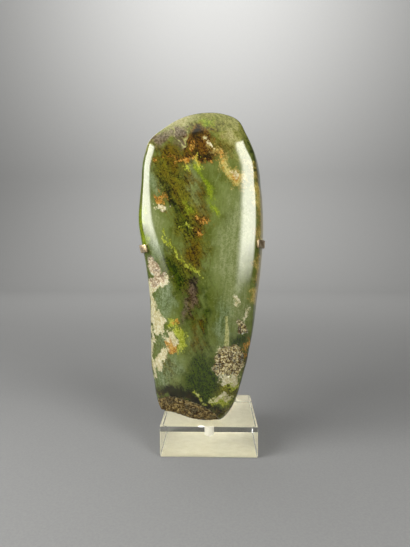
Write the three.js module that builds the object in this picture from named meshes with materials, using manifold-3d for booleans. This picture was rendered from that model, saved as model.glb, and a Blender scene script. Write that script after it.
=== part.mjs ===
// A polished jadeite axe head on its display stand.
// The axe stands on its rough butt with the blade up. A small clear acrylic block carries it,
// and a brass clip on a slender stem behind holds it upright by two small claws.
// Units are millimetres. +Z is up, the front of the axe looks along -Y, and the origin is
// the centre of the block's underside.

import * as THREE from 'three';
import { mergeVertices } from 'three/addons/utils/BufferGeometryUtils.js';
import Module from 'manifold-3d';

// ---- Driving dimensions -------------------------------------------------------------------

const TOUCH_GAP = 0.3; // left between two pieces that touch

// block
const BLOCK_SIDE = 60;
const BLOCK_HEIGHT = 19.4;
const BLOCK_CHAMFER = 0.4;
const BORE_DIAMETER = 6.2;
const BORE_FLOOR = 5.8; // the bore's full width ends this far above the underside
const DRILL_POINT_ANGLE = 118;
const CHIP_RADIUS = 9;
const CHIP_X = -4.6; // a shell-shaped bruise on the top front edge
const CHIP_DEPTH = 0.45;

// stem
const STEM_X = 0;
const STEM_Y = 2.0;
const STEM_DIAMETER = 5.6;
const STEM_ABOVE_CLIP = 4;
const STEM_ROUNDING = 1.2;

// clip
const STRIP_HEIGHT = 4.6;
const STRIP_THICKNESS = 1.1;
const CLAW_THICKNESS = 1.7; // the strip is left thicker at its two ends
const CLAW_LENGTH = 9;
const CLIP_HEIGHT = 109.4; // on the axe, above its lowest point
const CLIP_SLOPE = 0.042; // rises towards the right
const CLAW_REACH_LEFT = 32.9; // how far in from the axe's line each claw ends
const CLAW_REACH_RIGHT = 33.4;
const CLIP_GAP = 0.4; // the strip stands this far off the stone
const CLIP_STEPS = 56;
const CLIP_BUNCHING = 0.075; // draws those steps together where the strip turns round the two sides

// axe
const AXE_LENGTH = 194.3;
const AXE_X = -4.5;
const AXE_Y = -21.0;
const AXE_LEAN = 2.2; // degrees backwards
const SPINE_LOW = 40; // the outline is measured from a straight line between these heights
const SPINE_HIGH = 152.5;
const CAP_UNIT = 38; // millimetres of rim for a radian round either end of that line
const BEVEL_SLOPE = 0.42; // rise of the blade's bevels, for each side
const BEVEL_NOSE = 0.8; // half the thickness of the blunt cutting edge
const BEVEL_LEVEL_SHARE = 0.85; // how far the bevels run level instead of with the rim
const BEVEL_OVERSHOOT = 1.5;
const EDGE_SOFTNESS = 1.6; // width over which two ground faces blend
const BREAK_SOFTNESS = 0.6; // the same along the edge of the broken butt
const FACET_ANGLE = 16; // the ground facet down the right side, turned this far to the front
const FACET_DEPTH = 1.5; // where it crosses the rim, behind the middle
const FACET_SWELL = 0.05; // how much wider the section would be without it
const FACET_CLEAR = 2.5;
const GRID_WIDTH = 80; // the box whose grid is moved onto the axe
const GRID_DEPTH = 30;
const GRID_X = 20;
const GRID_Y = 8;
const GRID_Z = 50;
const RAY_LENGTH = 80; // from the spine to well outside the axe
const HALVINGS = 40;

// the steps round each turned form
const STEM_STEPS = 24;
const BORE_STEPS = 32;
const CHIP_STEPS = 40;

const radians = THREE.MathUtils.degToRad;
const clamp = THREE.MathUtils.clamp;
const smoothstep = THREE.MathUtils.smoothstep;

// ---- Smooth curves through a few stations -------------------------------------------------

// A cubic through [position, value] stations. A period makes it run round and round.
function throughStations(stations, period = 0) {
  const last = stations.length - 1;
  const at = (i) => {
    if (!period) return stations[clamp(i, 0, last)];
    const lap = Math.floor(i / stations.length);
    const [position, value] = stations[i - lap * stations.length];
    return [position + lap * period, value];
  };
  const slope = (i) => {
    const [before, low] = at(i - 1);
    const [after, high] = at(i + 1);
    return (high - low) / (after - before);
  };
  return (position) => {
    const lap = period ? Math.floor((position - stations[0][0]) / period) : 0;
    const p = period ? position - lap * period : clamp(position, stations[0][0], stations[last][0]);
    let i = 0;
    while (i < (period ? last : last - 1) && at(i + 1)[0] <= p) i += 1;
    const [start, from] = at(i);
    const [end, to] = at(i + 1);
    const span = end - start;
    const t = (p - start) / span;
    const turn = t * t * (3 - 2 * t);
    const leave = t * (1 - t) * (1 - t) * span * slope(i);
    const arrive = t * t * (t - 1) * span * slope(i + 1);
    return from + (to - from) * turn + leave + arrive;
  };
}

// ---- The axe's form -----------------------------------------------------------------------

// The rim is a distance from the spine: level outwards along its two sides, and along rays
// round its two ends. One running position goes up the right side, over the blade, down the
// left side and round the butt.
const SPINE = SPINE_HIGH - SPINE_LOW;
const HALF_TURN = Math.PI * CAP_UNIT;
const RIM_LAP = 2 * (SPINE + HALF_TURN);
const upRight = (height) => height - SPINE_LOW;
const overBlade = (degrees) => SPINE + radians(degrees) * CAP_UNIT;
const downLeft = (height) => SPINE + HALF_TURN + SPINE_HIGH - height;
const roundButt = (degrees) => 2 * SPINE + HALF_TURN + radians(degrees - 180) * CAP_UNIT;

const rimDistance = throughStations(
  [
    [upRight(40), 28.9],
    [upRight(56), 31.9],
    [upRight(76), 34.8],
    [upRight(97), 37.3],
    [upRight(120), 38.7],
    [upRight(140), 38.1],
    [overBlade(0), 36.9],
    [overBlade(30), 37.0],
    [overBlade(45), 39.2],
    [overBlade(58), 42.9],
    [overBlade(72), 43.1],
    [overBlade(90), 41.8],
    [overBlade(110), 40.3],
    [overBlade(128), 39.3],
    [overBlade(145), 40.2],
    [overBlade(157), 38.6],
    [overBlade(180), 37.3],
    [downLeft(127), 39.6],
    [downLeft(112), 37.9],
    [downLeft(97), 35.2],
    [downLeft(76), 32.9],
    [downLeft(56), 32.4],
    [roundButt(180), 32.1],
    [roundButt(205), 33.4],
    [roundButt(221), 37.8],
    [roundButt(232), 41.8],
    [roundButt(245), 39.3],
    [roundButt(258), 39.3],
    [roundButt(272), 40.0],
    [roundButt(280), 40.4],
    [roundButt(288), 40.6],
    [roundButt(298), 37.6],
    [roundButt(309), 33.9],
    [roundButt(323), 30.0],
    [roundButt(341), 28.0],
  ],
  RIM_LAP,
);

// How square the section is towards each stretch of rim: 2 is an ellipse.
const squareness = throughStations(
  [
    [upRight(40), 2.3],
    [upRight(76), 2.5],
    [upRight(120), 2.7],
    [overBlade(0), 2.9],
    [overBlade(35), 3.2],
    [overBlade(90), 2.4],
    [overBlade(145), 5.0],
    [overBlade(180), 6.5],
    [downLeft(135), 4.6],
    [downLeft(115), 3.3],
    [downLeft(97), 2.5],
    [downLeft(80), 2.2],
    [downLeft(55), 2.2],
    [roundButt(200), 2.4],
    [roundButt(270), 2.5],
    [roundButt(330), 2.4],
  ],
  RIM_LAP,
);

const halfThickness = throughStations([
  [-10, 9.4],
  [12, 11.4],
  [40, 13.1],
  [75, 14.2],
  [105, 14.2],
  [130, 13.3],
  [152, 11.9],
  [172, 10.3],
  [200, 8.2],
]);

// The butt was left as it was broken: a rough slope low on the front.
const BREAK_POINT = new THREE.Vector3(-16, -9.1, 17);
const BREAK_NORMAL = new THREE.Vector3(-0.12, -0.89, -0.42).normalize();

function smoothMax(a, b, width) {
  const near = Math.max(width - Math.abs(a - b), 0) / width;
  return Math.max(a, b) + (near * near * width) / 4;
}

// Where a point lies around the rim, and how far out it is.
function fromSpine(x, height) {
  if (height > SPINE_HIGH) {
    const rise = height - SPINE_HIGH;
    return { along: SPINE + Math.atan2(rise, x) * CAP_UNIT, out: Math.hypot(x, rise) };
  }
  if (height < SPINE_LOW) {
    const drop = SPINE_LOW - height;
    const past = Math.atan2(drop, -x) * CAP_UNIT;
    return { along: 2 * SPINE + HALF_TURN + past, out: Math.hypot(x, drop) };
  }
  return { along: x > 0 ? upRight(height) : downLeft(height), out: Math.abs(x) };
}

// Negative inside the axe, positive outside, and about a distance near its surface.
function axeField(x, y, height) {
  const { along, out } = fromSpine(x, height);
  const rim = rimDistance(along);
  const half = halfThickness(height);
  const power = squareness(along);

  // the body, its section a rounded lens
  const rising = smoothstep(along, upRight(46), upRight(80));
  const onFacet = rising * (1 - smoothstep(along, overBlade(8), overBlade(40)));
  const share = out / (rim * (1 + FACET_SWELL * onFacet ** 2));
  const deep = Math.abs(y) / half;
  let field = half * ((share ** power + deep ** power) ** (1 / power) - 1);

  // the ground facet down its right side
  const lean = radians(FACET_ANGLE);
  const aside = Math.cos(lean) * (out - rim) - Math.sin(lean) * (y - FACET_DEPTH);
  const facet = aside - FACET_CLEAR * (1 - onFacet);
  if (x > 0) field = smoothMax(field, facet, EDGE_SOFTNESS);

  // the two bevels of the blade
  const level = AXE_LENGTH + BEVEL_OVERSHOOT - height;
  const fromRim = BEVEL_LEVEL_SHARE * level + (1 - BEVEL_LEVEL_SHARE) * (rim - out);
  const tilt = Math.atan(BEVEL_SLOPE);
  const bevel = Math.cos(tilt) * (Math.abs(y) - BEVEL_NOSE) - Math.sin(tilt) * fromRim;
  if (height > SPINE_LOW) field = smoothMax(field, bevel, EDGE_SOFTNESS);

  // the break at the butt
  const broken = new THREE.Vector3(x, y, height).sub(BREAK_POINT).dot(BREAK_NORMAL);
  return smoothMax(field, broken, BREAK_SOFTNESS);
}

// The distance from a point to the surface along a direction, by halving.
function reach(from, direction) {
  let inside = 0;
  let outside = RAY_LENGTH;
  for (let i = 0; i < HALVINGS; i += 1) {
    const middle = (inside + outside) / 2;
    const p = direction.clone().multiplyScalar(middle).add(from);
    if (axeField(p.x, p.y, p.z) < 0) inside = middle;
    else outside = middle;
  }
  return inside;
}

// A closed grid over a box, each point moved along its ray from the spine to the surface.
function axeGeometry() {
  const box = new THREE.BoxGeometry(GRID_WIDTH, GRID_DEPTH, AXE_LENGTH, GRID_X, GRID_Y, GRID_Z);
  box.deleteAttribute('normal');
  box.deleteAttribute('uv');
  const grid = mergeVertices(box, 0.001);
  const place = grid.getAttribute('position');
  const point = new THREE.Vector3();
  for (let i = 0; i < place.count; i += 1) {
    point.fromBufferAttribute(place, i);
    point.z += AXE_LENGTH / 2;
    const spine = new THREE.Vector3(0, 0, clamp(point.z, SPINE_LOW, SPINE_HIGH));
    const direction = point.clone().sub(spine).normalize();
    point.copy(spine).addScaledVector(direction, reach(spine, direction));
    place.setXYZ(i, point.x, point.y, point.z);
  }
  return grid;
}

// ---- The clip -----------------------------------------------------------------------------

// A point on the axe's section, and the way out of it, for a ray at this angle.
function onSection(angle, lift) {
  const direction = new THREE.Vector3(Math.cos(angle), Math.sin(angle), 0);
  let height = CLIP_HEIGHT + lift;
  let point = new THREE.Vector3();
  for (let i = 0; i < 3; i += 1) {
    const spine = new THREE.Vector3(0, 0, height);
    point = direction.clone().multiplyScalar(reach(spine, direction)).add(spine);
    height = CLIP_HEIGHT + lift + CLIP_SLOPE * point.x;
  }
  const step = 0.05;
  const slopeX = axeField(point.x + step, point.y, height) - axeField(point.x - step, point.y, height);
  const slopeY = axeField(point.x, point.y + step, height) - axeField(point.x, point.y - step, height);
  return { point, outward: new THREE.Vector3(slopeX, slopeY, 0).normalize() };
}

// The angle at which a claw ends, where the front of the section is this far from the spine.
function clawAngle(side, reachIn) {
  let low = 0;
  let high = Math.PI / 2;
  for (let i = 0; i < 30; i += 1) {
    const middle = (low + high) / 2;
    const angle = side > 0 ? -middle : Math.PI + middle;
    if (Math.abs(onSection(angle, 0).point.x) > reachIn) low = middle;
    else high = middle;
  }
  return side > 0 ? -low : Math.PI + low;
}

// One flat strip bent round the back and both sides of the axe, ending in two claws.
function clipGeometry() {
  const start = clawAngle(1, CLAW_REACH_RIGHT);
  const end = clawAngle(-1, CLAW_REACH_LEFT);
  const angles = [];
  for (let i = 0; i <= CLIP_STEPS; i += 1) {
    const t = i / CLIP_STEPS;
    angles.push(start + (end - start) * (t + CLIP_BUNCHING * Math.sin(4 * Math.PI * t)));
  }
  const middle = angles.map((angle) => onSection(angle, 0).point);
  const travelled = [0];
  for (let i = 1; i <= CLIP_STEPS; i += 1) {
    travelled.push(travelled[i - 1] + middle[i].distanceTo(middle[i - 1]));
  }
  const whole = travelled[CLIP_STEPS];

  const corners = [];
  angles.forEach((angle, i) => {
    const fromEnd = Math.min(travelled[i], whole - travelled[i]);
    const thin = smoothstep(fromEnd, CLAW_LENGTH * 0.5, CLAW_LENGTH * 1.5);
    const thickness = CLAW_THICKNESS + (STRIP_THICKNESS - CLAW_THICKNESS) * thin;
    const low = onSection(angle, -STRIP_HEIGHT / 2);
    const high = onSection(angle, STRIP_HEIGHT / 2);
    for (const [at, out] of [[low, 0], [low, thickness], [high, thickness], [high, 0]]) {
      corners.push(at.point.clone().addScaledVector(at.outward, CLIP_GAP + out));
    }
  });

  const faces = [];
  for (let i = 0; i < CLIP_STEPS; i += 1) {
    for (let k = 0; k < 4; k += 1) {
      const a = 4 * i + k;
      const b = 4 * i + ((k + 1) % 4);
      faces.push(a, b + 4, b, a, a + 4, b + 4);
    }
  }
  const tail = 4 * CLIP_STEPS;
  faces.push(0, 1, 2, 0, 2, 3, tail, tail + 2, tail + 1, tail, tail + 3, tail + 2);

  const geometry = new THREE.BufferGeometry();
  geometry.setAttribute('position', new THREE.Float32BufferAttribute(corners.flatMap((c) => c.toArray()), 3));
  geometry.setIndex(faces);
  return geometry;
}

// ---- The stem and the block ---------------------------------------------------------------

// The height of the stem's rounded top, above the underside of the block.
function stemTop() {
  return BLOCK_HEIGHT + TOUCH_GAP + CLIP_HEIGHT + STRIP_HEIGHT / 2 + STEM_ABOVE_CLIP;
}

function stemGeometry() {
  const radius = STEM_DIAMETER / 2;
  const top = stemTop();
  const bottom = BORE_FLOOR + TOUCH_GAP;
  const profile = [new THREE.Vector2(0, bottom), new THREE.Vector2(radius, bottom)];
  for (let i = 0; i <= 4; i += 1) {
    const turn = (i / 4) * (Math.PI / 2);
    const x = radius - STEM_ROUNDING + STEM_ROUNDING * Math.cos(turn);
    profile.push(new THREE.Vector2(x, top - STEM_ROUNDING + STEM_ROUNDING * Math.sin(turn)));
  }
  profile.push(new THREE.Vector2(0, top));
  const stem = new THREE.LatheGeometry(profile, STEM_STEPS);
  stem.rotateX(Math.PI / 2);
  return stem;
}

const wasm = await Module();
wasm.setup();

function toSolid(geometry) {
  const bare = geometry.clone();
  bare.deleteAttribute('normal');
  bare.deleteAttribute('uv');
  const merged = mergeVertices(bare, 1e-4);
  const vertProperties = new Float32Array(merged.getAttribute('position').array);
  const triVerts = new Uint32Array(merged.getIndex().array);
  return new wasm.Manifold(new wasm.Mesh({ numProp: 3, vertProperties, triVerts }));
}

function toGeometry(solid) {
  const mesh = solid.getMesh();
  const geometry = new THREE.BufferGeometry();
  geometry.setAttribute('position', new THREE.BufferAttribute(mesh.vertProperties, 3));
  geometry.setIndex(new THREE.BufferAttribute(mesh.triVerts, 1));
  return geometry;
}

// A square plate with every edge chamfered.
function chamferedBlock() {
  const half = BLOCK_SIDE / 2 - BLOCK_CHAMFER;
  const square = new THREE.Shape();
  square.moveTo(-half, -half);
  square.lineTo(half, -half);
  square.lineTo(half, half);
  square.lineTo(-half, half);
  square.closePath();
  const plate = new THREE.ExtrudeGeometry(square, {
    depth: BLOCK_HEIGHT - 2 * BLOCK_CHAMFER,
    bevelSize: BLOCK_CHAMFER,
    bevelThickness: BLOCK_CHAMFER,
    bevelSegments: 1,
  });
  plate.translate(0, 0, BLOCK_CHAMFER);
  return plate;
}

function blockGeometry() {
  const radius = BORE_DIAMETER / 2;
  const point = radius / Math.tan(radians(DRILL_POINT_ANGLE / 2));
  const drill = new THREE.LatheGeometry(
    [
      new THREE.Vector2(0, BORE_FLOOR - point),
      new THREE.Vector2(radius, BORE_FLOOR),
      new THREE.Vector2(radius, BLOCK_HEIGHT + 1),
      new THREE.Vector2(0, BLOCK_HEIGHT + 1),
    ],
    BORE_STEPS,
  );
  drill.rotateX(Math.PI / 2);
  drill.translate(STEM_X, STEM_Y, 0);

  const chip = new THREE.SphereGeometry(CHIP_RADIUS, CHIP_STEPS, CHIP_STEPS / 2);
  const stand = (CHIP_RADIUS - CHIP_DEPTH) * Math.SQRT1_2;
  chip.translate(CHIP_X, -BLOCK_SIDE / 2 - stand, BLOCK_HEIGHT + stand);

  return toGeometry(toSolid(chamferedBlock()).subtract(toSolid(drill)).subtract(toSolid(chip)));
}

// ---- The scene ----------------------------------------------------------------------------

function piece(name, geometry, colour, roughness, metalness = 0) {
  const material = new THREE.MeshStandardMaterial({ color: colour, roughness, metalness });
  const mesh = new THREE.Mesh(geometry, material);
  mesh.name = name;
  return mesh;
}

const stand = new THREE.Group();

const block = piece('base_block', blockGeometry(), 0xe8ebe6, 0.05);
stand.add(block);

const stem = piece('stem', stemGeometry(), 0x6e5a3c, 0.45, 0.9);
stem.position.set(STEM_X, STEM_Y, 0);
stand.add(stem);

const leaning = new THREE.Group();
leaning.position.set(AXE_X, AXE_Y, BLOCK_HEIGHT + TOUCH_GAP);
leaning.rotation.x = -radians(AXE_LEAN);
leaning.add(piece('axe_head', axeGeometry(), 0x5f7440, 0.12));
leaning.add(piece('clip', clipGeometry(), 0x8a7350, 0.4, 0.9));
stand.add(leaning);

export default stand;
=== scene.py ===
# %% [markdown]
# # A polished jadeite axe head on its stand
# The axe head is one hard stone, ground and polished to a long tapering blade. It stands on its
# rough butt on a small block of clear acrylic, and a brass clip on a stem behind keeps it upright.
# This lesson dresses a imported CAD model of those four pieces. It refines the axe by formula,
# paints its minerals as fields on the surface, and then makes the block, the brass and the light.

import math

import bmesh
import bpy
import numpy as np
from mathutils import Matrix, Vector


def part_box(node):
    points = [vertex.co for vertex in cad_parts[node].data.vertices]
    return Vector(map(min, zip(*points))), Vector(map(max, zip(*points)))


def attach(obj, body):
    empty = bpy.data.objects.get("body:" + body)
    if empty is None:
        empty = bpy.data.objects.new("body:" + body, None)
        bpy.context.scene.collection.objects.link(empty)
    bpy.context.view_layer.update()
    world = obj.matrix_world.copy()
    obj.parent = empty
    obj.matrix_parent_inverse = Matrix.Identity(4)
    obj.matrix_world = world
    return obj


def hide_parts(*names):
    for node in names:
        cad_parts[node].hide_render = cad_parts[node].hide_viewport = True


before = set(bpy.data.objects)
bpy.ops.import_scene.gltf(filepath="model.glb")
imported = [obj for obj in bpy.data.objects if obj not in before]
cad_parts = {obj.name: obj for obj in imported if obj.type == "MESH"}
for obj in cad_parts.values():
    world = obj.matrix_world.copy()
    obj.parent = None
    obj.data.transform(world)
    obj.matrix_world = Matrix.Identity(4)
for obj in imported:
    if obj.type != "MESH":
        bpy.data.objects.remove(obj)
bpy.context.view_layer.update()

# %% [markdown]
# ## Units and places
# Blender works in metres. The axe's form is easier to think about in millimetres, so the formulas
# below use them, and one factor brings the finished points into the scene. The block's box in the
# CAD model gives the height that the axe stands at.

# %% Units and places
MM = 0.001
TOUCH_GAP = 0.3
block_low, block_high = (np.array(corner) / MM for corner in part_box("base_block"))
BLOCK_TOP = block_high[2]
AXE_FOOT = np.array([-4.5, -21.0, BLOCK_TOP + TOUCH_GAP])
AXE_LEAN = math.radians(2.2)
AXE_LENGTH = 194.3
print(f"the axe stands {BLOCK_TOP + TOUCH_GAP:.1f} mm up and leans back {math.degrees(AXE_LEAN):.1f} degrees")

# %% [markdown]
# ## Curves through a few stations
# A hand-ground stone has no radius that a compass could find. A short list of measured stations
# with a cubic drawn through them follows it closely, and a period lets the same curve close on
# itself right round the rim.

# %% A smooth curve through stations
def through_stations(stations, period=0.0):
    """A function through [position, value] stations, with the slope at each taken from its neighbours."""
    place = np.array([s[0] for s in stations], float)
    value = np.array([s[1] for s in stations], float)
    if period:
        place = np.concatenate([place[-2:] - period, place, place[:3] + period])
        value = np.concatenate([value[-2:], value, value[:3]])
    else:
        place = np.concatenate([place[:1], place, place[-1:]])
        value = np.concatenate([value[:1], value, value[-1:]])
    first, last = (2, len(place) - 4) if period else (1, len(place) - 3)
    slope = np.zeros(len(place))
    slope[1:-1] = (value[2:] - value[:-2]) / (place[2:] - place[:-2])

    def curve(position):
        if period:
            position = place[first] + np.mod(position - place[first], period)
        else:
            position = np.clip(position, place[1], place[-2])
        i = np.clip(np.searchsorted(place, position, side="right") - 1, first, last)
        span = place[i + 1] - place[i]
        t = (position - place[i]) / span
        leave = t * (1 - t) ** 2 * span * slope[i]
        arrive = t * t * (t - 1) * span * slope[i + 1]
        return value[i] + (value[i + 1] - value[i]) * t * t * (3 - 2 * t) + leave + arrive

    return curve


# %% The rim, the section and the thickness
SPINE_LOW, SPINE_HIGH = 40.0, 152.5
CAP_UNIT = 38.0
SPINE = SPINE_HIGH - SPINE_LOW
HALF_TURN = math.pi * CAP_UNIT
RIM_LAP = 2 * (SPINE + HALF_TURN)


# Places along the rim: up the right side, over the blade, down the left side and round the butt.
def up_right(height):
    return height - SPINE_LOW


def over_blade(degrees):
    return SPINE + math.radians(degrees) * CAP_UNIT


def down_left(height):
    return SPINE + HALF_TURN + SPINE_HIGH - height


def round_butt(degrees):
    return 2 * SPINE + HALF_TURN + math.radians(degrees - 180) * CAP_UNIT


rim_distance = through_stations(
    [
        [up_right(40), 28.9], [up_right(56), 31.9], [up_right(76), 34.8], [up_right(97), 37.3],
        [up_right(120), 38.7], [up_right(140), 38.1],
        [over_blade(0), 36.9], [over_blade(30), 37.0], [over_blade(45), 39.2], [over_blade(58), 42.9],
        [over_blade(72), 43.1], [over_blade(90), 41.8], [over_blade(110), 40.3], [over_blade(128), 39.3],
        [over_blade(145), 40.2], [over_blade(157), 38.6], [over_blade(180), 37.3],
        [down_left(127), 39.6], [down_left(112), 37.9], [down_left(97), 35.2], [down_left(76), 32.9],
        [down_left(56), 32.4],
        [round_butt(180), 32.1], [round_butt(205), 33.4], [round_butt(221), 37.8], [round_butt(232), 41.8],
        [round_butt(245), 39.3], [round_butt(258), 39.3], [round_butt(272), 40.0], [round_butt(280), 40.4],
        [round_butt(288), 40.6], [round_butt(298), 37.6], [round_butt(309), 33.9], [round_butt(323), 30.0],
        [round_butt(341), 28.0],
    ],
    RIM_LAP,
)
squareness = through_stations(
    [
        [up_right(40), 2.3], [up_right(76), 2.5], [up_right(120), 2.7],
        [over_blade(0), 2.9], [over_blade(35), 3.2], [over_blade(90), 2.4], [over_blade(145), 5.0],
        [over_blade(180), 6.5],
        [down_left(135), 4.6], [down_left(115), 3.3], [down_left(97), 2.5], [down_left(80), 2.2],
        [down_left(55), 2.2],
        [round_butt(200), 2.4], [round_butt(270), 2.5], [round_butt(330), 2.4],
    ],
    RIM_LAP,
)
half_thickness = through_stations(
    [
        [-10, 9.4], [12, 11.4], [40, 13.1], [75, 14.2], [105, 14.2],
        [130, 13.3], [152, 11.9], [172, 10.3], [200, 8.2],
    ]
)
print(f"75 mm up, the body is {2 * half_thickness(75.0):.1f} mm thick")

# %% [markdown]
# ## The stone as one formula
# The body is a rounded lens whose rim follows the outline. The maker then ground flats on it: two
# bevels that meet in the blade and a narrow facet down the right side, and the butt was left
# broken. It could be sculpted, but a formula stays smooth however finely it is sampled, and a
# polished surface shows every lump. Each flat is one more limit on the formula, and a smooth
# maximum rounds the line where two of them meet, as polishing does.

# %% The axe's formula
BEVEL_SLOPE = 0.42
BEVEL_NOSE = 0.8
BEVEL_LEVEL_SHARE = 0.85
BEVEL_OVERSHOOT = 1.5
EDGE_SOFTNESS = 1.6
FACET_ANGLE = math.radians(16)
FACET_DEPTH = 1.5
FACET_SWELL = 0.05
FACET_CLEAR = 2.5
BREAK_POINT = np.array([-16.0, -9.1, 17.0])
BREAK_NORMAL = np.array([-0.12, -0.89, -0.42]) / np.linalg.norm([-0.12, -0.89, -0.42])
BREAK_SOFTNESS = 0.6


def smoothstep(value, start, end):
    t = np.clip((value - start) / (end - start), 0, 1)
    return t * t * (3 - 2 * t)


def smooth_max(a, b, width):
    near = np.maximum(width - np.abs(a - b), 0) / width
    return np.maximum(a, b) + near * near * width / 4


def from_spine(x, height):
    """Where points lie along the rim, and how far out from the spine they are."""
    rise, drop = height - SPINE_HIGH, SPINE_LOW - height
    along = np.where(x > 0, up_right(height), down_left(height))
    along = np.where(rise > 0, SPINE + np.arctan2(rise, x) * CAP_UNIT, along)
    along = np.where(drop > 0, 2 * SPINE + HALF_TURN + np.arctan2(drop, -x) * CAP_UNIT, along)
    return along, np.hypot(x, np.maximum(np.maximum(rise, drop), 0))


def axe_field(x, y, height):
    """Negative inside the axe, positive outside."""
    along, out = from_spine(x, height)
    rim = rim_distance(along)
    half = half_thickness(height)
    power = squareness(along)
    rising = smoothstep(along, up_right(46), up_right(80))
    on_facet = rising * (1 - smoothstep(along, over_blade(8), over_blade(40)))
    share = out / (rim * (1 + FACET_SWELL * on_facet**2))
    field = half * ((share**power + (np.abs(y) / half) ** power) ** (1 / power) - 1)

    facet = math.cos(FACET_ANGLE) * (out - rim) - math.sin(FACET_ANGLE) * (y - FACET_DEPTH)
    field = np.where(x > 0, smooth_max(field, facet - FACET_CLEAR * (1 - on_facet), EDGE_SOFTNESS), field)

    level = AXE_LENGTH + BEVEL_OVERSHOOT - height
    from_rim = BEVEL_LEVEL_SHARE * level + (1 - BEVEL_LEVEL_SHARE) * (rim - out)
    tilt = math.atan(BEVEL_SLOPE)
    bevel = math.cos(tilt) * (np.abs(y) - BEVEL_NOSE) - math.sin(tilt) * from_rim
    field = np.where(height > SPINE_LOW, smooth_max(field, bevel, EDGE_SOFTNESS), field)

    broken = (np.stack([x, y, height], -1) - BREAK_POINT) @ BREAK_NORMAL
    return smooth_max(field, broken, BREAK_SOFTNESS)


print(f"100 mm up, the spine lies {-float(axe_field(0.0, 0.0, 100.0)):.1f} mm under the skin")

# %% [markdown]
# ## From formula to mesh
# A sphere of latitude and longitude would pinch at its poles, and a pinch shows at once in a
# polished surface. So the grid is that of a long box, which has none. Each of its points slides
# along a ray from the stone's spine until it meets the formula's surface.

# %% A closed grid over a box
def box_grid(counts):
    """Points on a unit box's faces, as whole steps, and the four-sided faces between them."""
    steps = np.array(counts)
    corner = np.indices(steps + 1).transpose(1, 2, 3, 0)
    on_shell = ((corner == 0) | (corner == steps)).any(-1)
    number = np.full(on_shell.shape, -1)
    number[on_shell] = np.arange(on_shell.sum())
    faces = []
    for axis in range(3):
        for end in (0, steps[axis]):
            sheet = number.take(end, axis=axis)
            around = [sheet[:-1, :-1], sheet[1:, :-1], sheet[1:, 1:], sheet[:-1, 1:]]
            quads = np.stack(around, -1).reshape(-1, 4)
            outward = (end > 0) != (axis == 1)
            faces.append(quads if outward else quads[:, ::-1])
    return corner[on_shell] / steps, np.concatenate(faces)


# %% Slide the grid onto the stone
GRID_WIDTH, GRID_DEPTH = 80, 30
RAY_LENGTH, HALVINGS = 80.0, 36


def to_surface(points):
    """Each point moved along its ray from the spine onto the axe's surface, by halving."""
    spine = np.zeros_like(points)
    spine[:, 2] = np.clip(points[:, 2], SPINE_LOW, SPINE_HIGH)
    ray = points - spine
    ray /= np.linalg.norm(ray, axis=1, keepdims=True)
    inside, outside = np.zeros(len(points)), np.full(len(points), RAY_LENGTH)
    for _ in range(HALVINGS):
        middle = (inside + outside) / 2
        within = axe_field(*(spine + ray * middle[:, None]).T) < 0
        inside, outside = np.where(within, middle, inside), np.where(within, outside, middle)
    return spine + ray * inside[:, None]


GRID_STEPS = ((112, 38, 270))
share, axe_faces = box_grid(GRID_STEPS)
axe_points = to_surface((share - [0.5, 0.5, 0]) * [GRID_WIDTH, GRID_DEPTH, AXE_LENGTH])
print(f"the axe's surface has {len(axe_points)} points and {len(axe_faces)} faces")


# %% Stand the axe on the block
def stand_up(points):
    """From the axe's own millimetres to the scene's metres."""
    turn = np.array(Matrix.Rotation(-AXE_LEAN, 3, "X"))
    return (points @ turn.T + AXE_FOOT) * MM


def new_object(name, points, faces):
    mesh = bpy.data.meshes.new(name)
    mesh.from_pydata(np.asarray(points).tolist(), [], np.asarray(faces).tolist())
    mesh.polygons.foreach_set("use_smooth", [True] * len(mesh.polygons))
    piece = bpy.data.objects.new(name, mesh)
    bpy.context.scene.collection.objects.link(piece)
    return piece


axe = new_object("axe_head_surface", stand_up(axe_points), axe_faces)
axe_low, axe_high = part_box("axe_head")
print("CAD axe:", [round(v / MM, 1) for v in (*axe_low, *axe_high)])
print("this axe:", (np.array(axe.bound_box)[[0, 6]] / MM).round(1).tolist())

# %% [markdown]
# ## A map of minerals
# Jadeite grows as a felt of crystals, and iron, chromium and weathering stain it in clouds and
# veins. The clouds here are ellipses and the veins are lines, placed on the axe's own
# millimetres: across from its middle line, and up from its butt. Each mineral becomes one number
# per point: how many millimetres inside its boundary the point lies. A painted texture could do
# this too, but it would blur close up, while the shader frays these boundaries with noise at any
# size, so that none of them stays an ellipse.
# A few fields are painted light and shade rather than minerals: a paler glow over the blade's bevels, a
# reflection down the left rim, and shade along the broken butt.

# %% Clouds and veins
FRONT, AROUND, BACK = -1, 0, 1
FIBRE_LEAN = 27  # degrees that the stone's fibres lean from upright
WRAP = 0.8  # how fast a stain gives out as it runs round an edge to the other side
across, depth, up = axe_points.T
wander_x = 1.1 * np.sin(up * 0.33 + 1.3 * np.sin(across * 0.21)) + 0.6 * np.sin(up * 0.83 + across * 0.47)
wander_up = 1.2 * np.sin(across * 0.39 + 1.1 * np.sin(up * 0.17)) + 0.7 * np.sin(across * 0.9 - up * 0.41)
flat_place = np.stack([across + wander_x, up + wander_up], -1)


def beyond_edge(side):
    return WRAP * np.maximum(-side * depth, 0) ** 1.5


def cloud(x, height, long, wide, turn=0, side=FRONT):
    """Millimetres inside an ellipse whose long way is turned up from level by these degrees."""
    c, s = math.cos(math.radians(turn)), math.sin(math.radians(turn))
    dx, dz = (flat_place - [x, height]).T
    reach = np.hypot((dx * c + dz * s) / long, (dz * c - dx * s) / wide)
    return (1 - reach) * min(long, wide) - beyond_edge(side)


def vein(width, *route, side=FRONT):
    """Millimetres inside a band of this width along a route of (x, height) points."""
    nearest = np.full(len(flat_place), np.inf)
    for start, end in zip(np.array(route[:-1], float), np.array(route[1:], float)):
        way = end - start
        t = np.clip((flat_place - start) @ way / (way @ way), 0, 1)
        nearest = np.minimum(nearest, np.linalg.norm(flat_place - start - t[:, None] * way, axis=1))
    return width / 2 - nearest - beyond_edge(side)


def together(*fields):
    return np.max(fields, axis=0)


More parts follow.
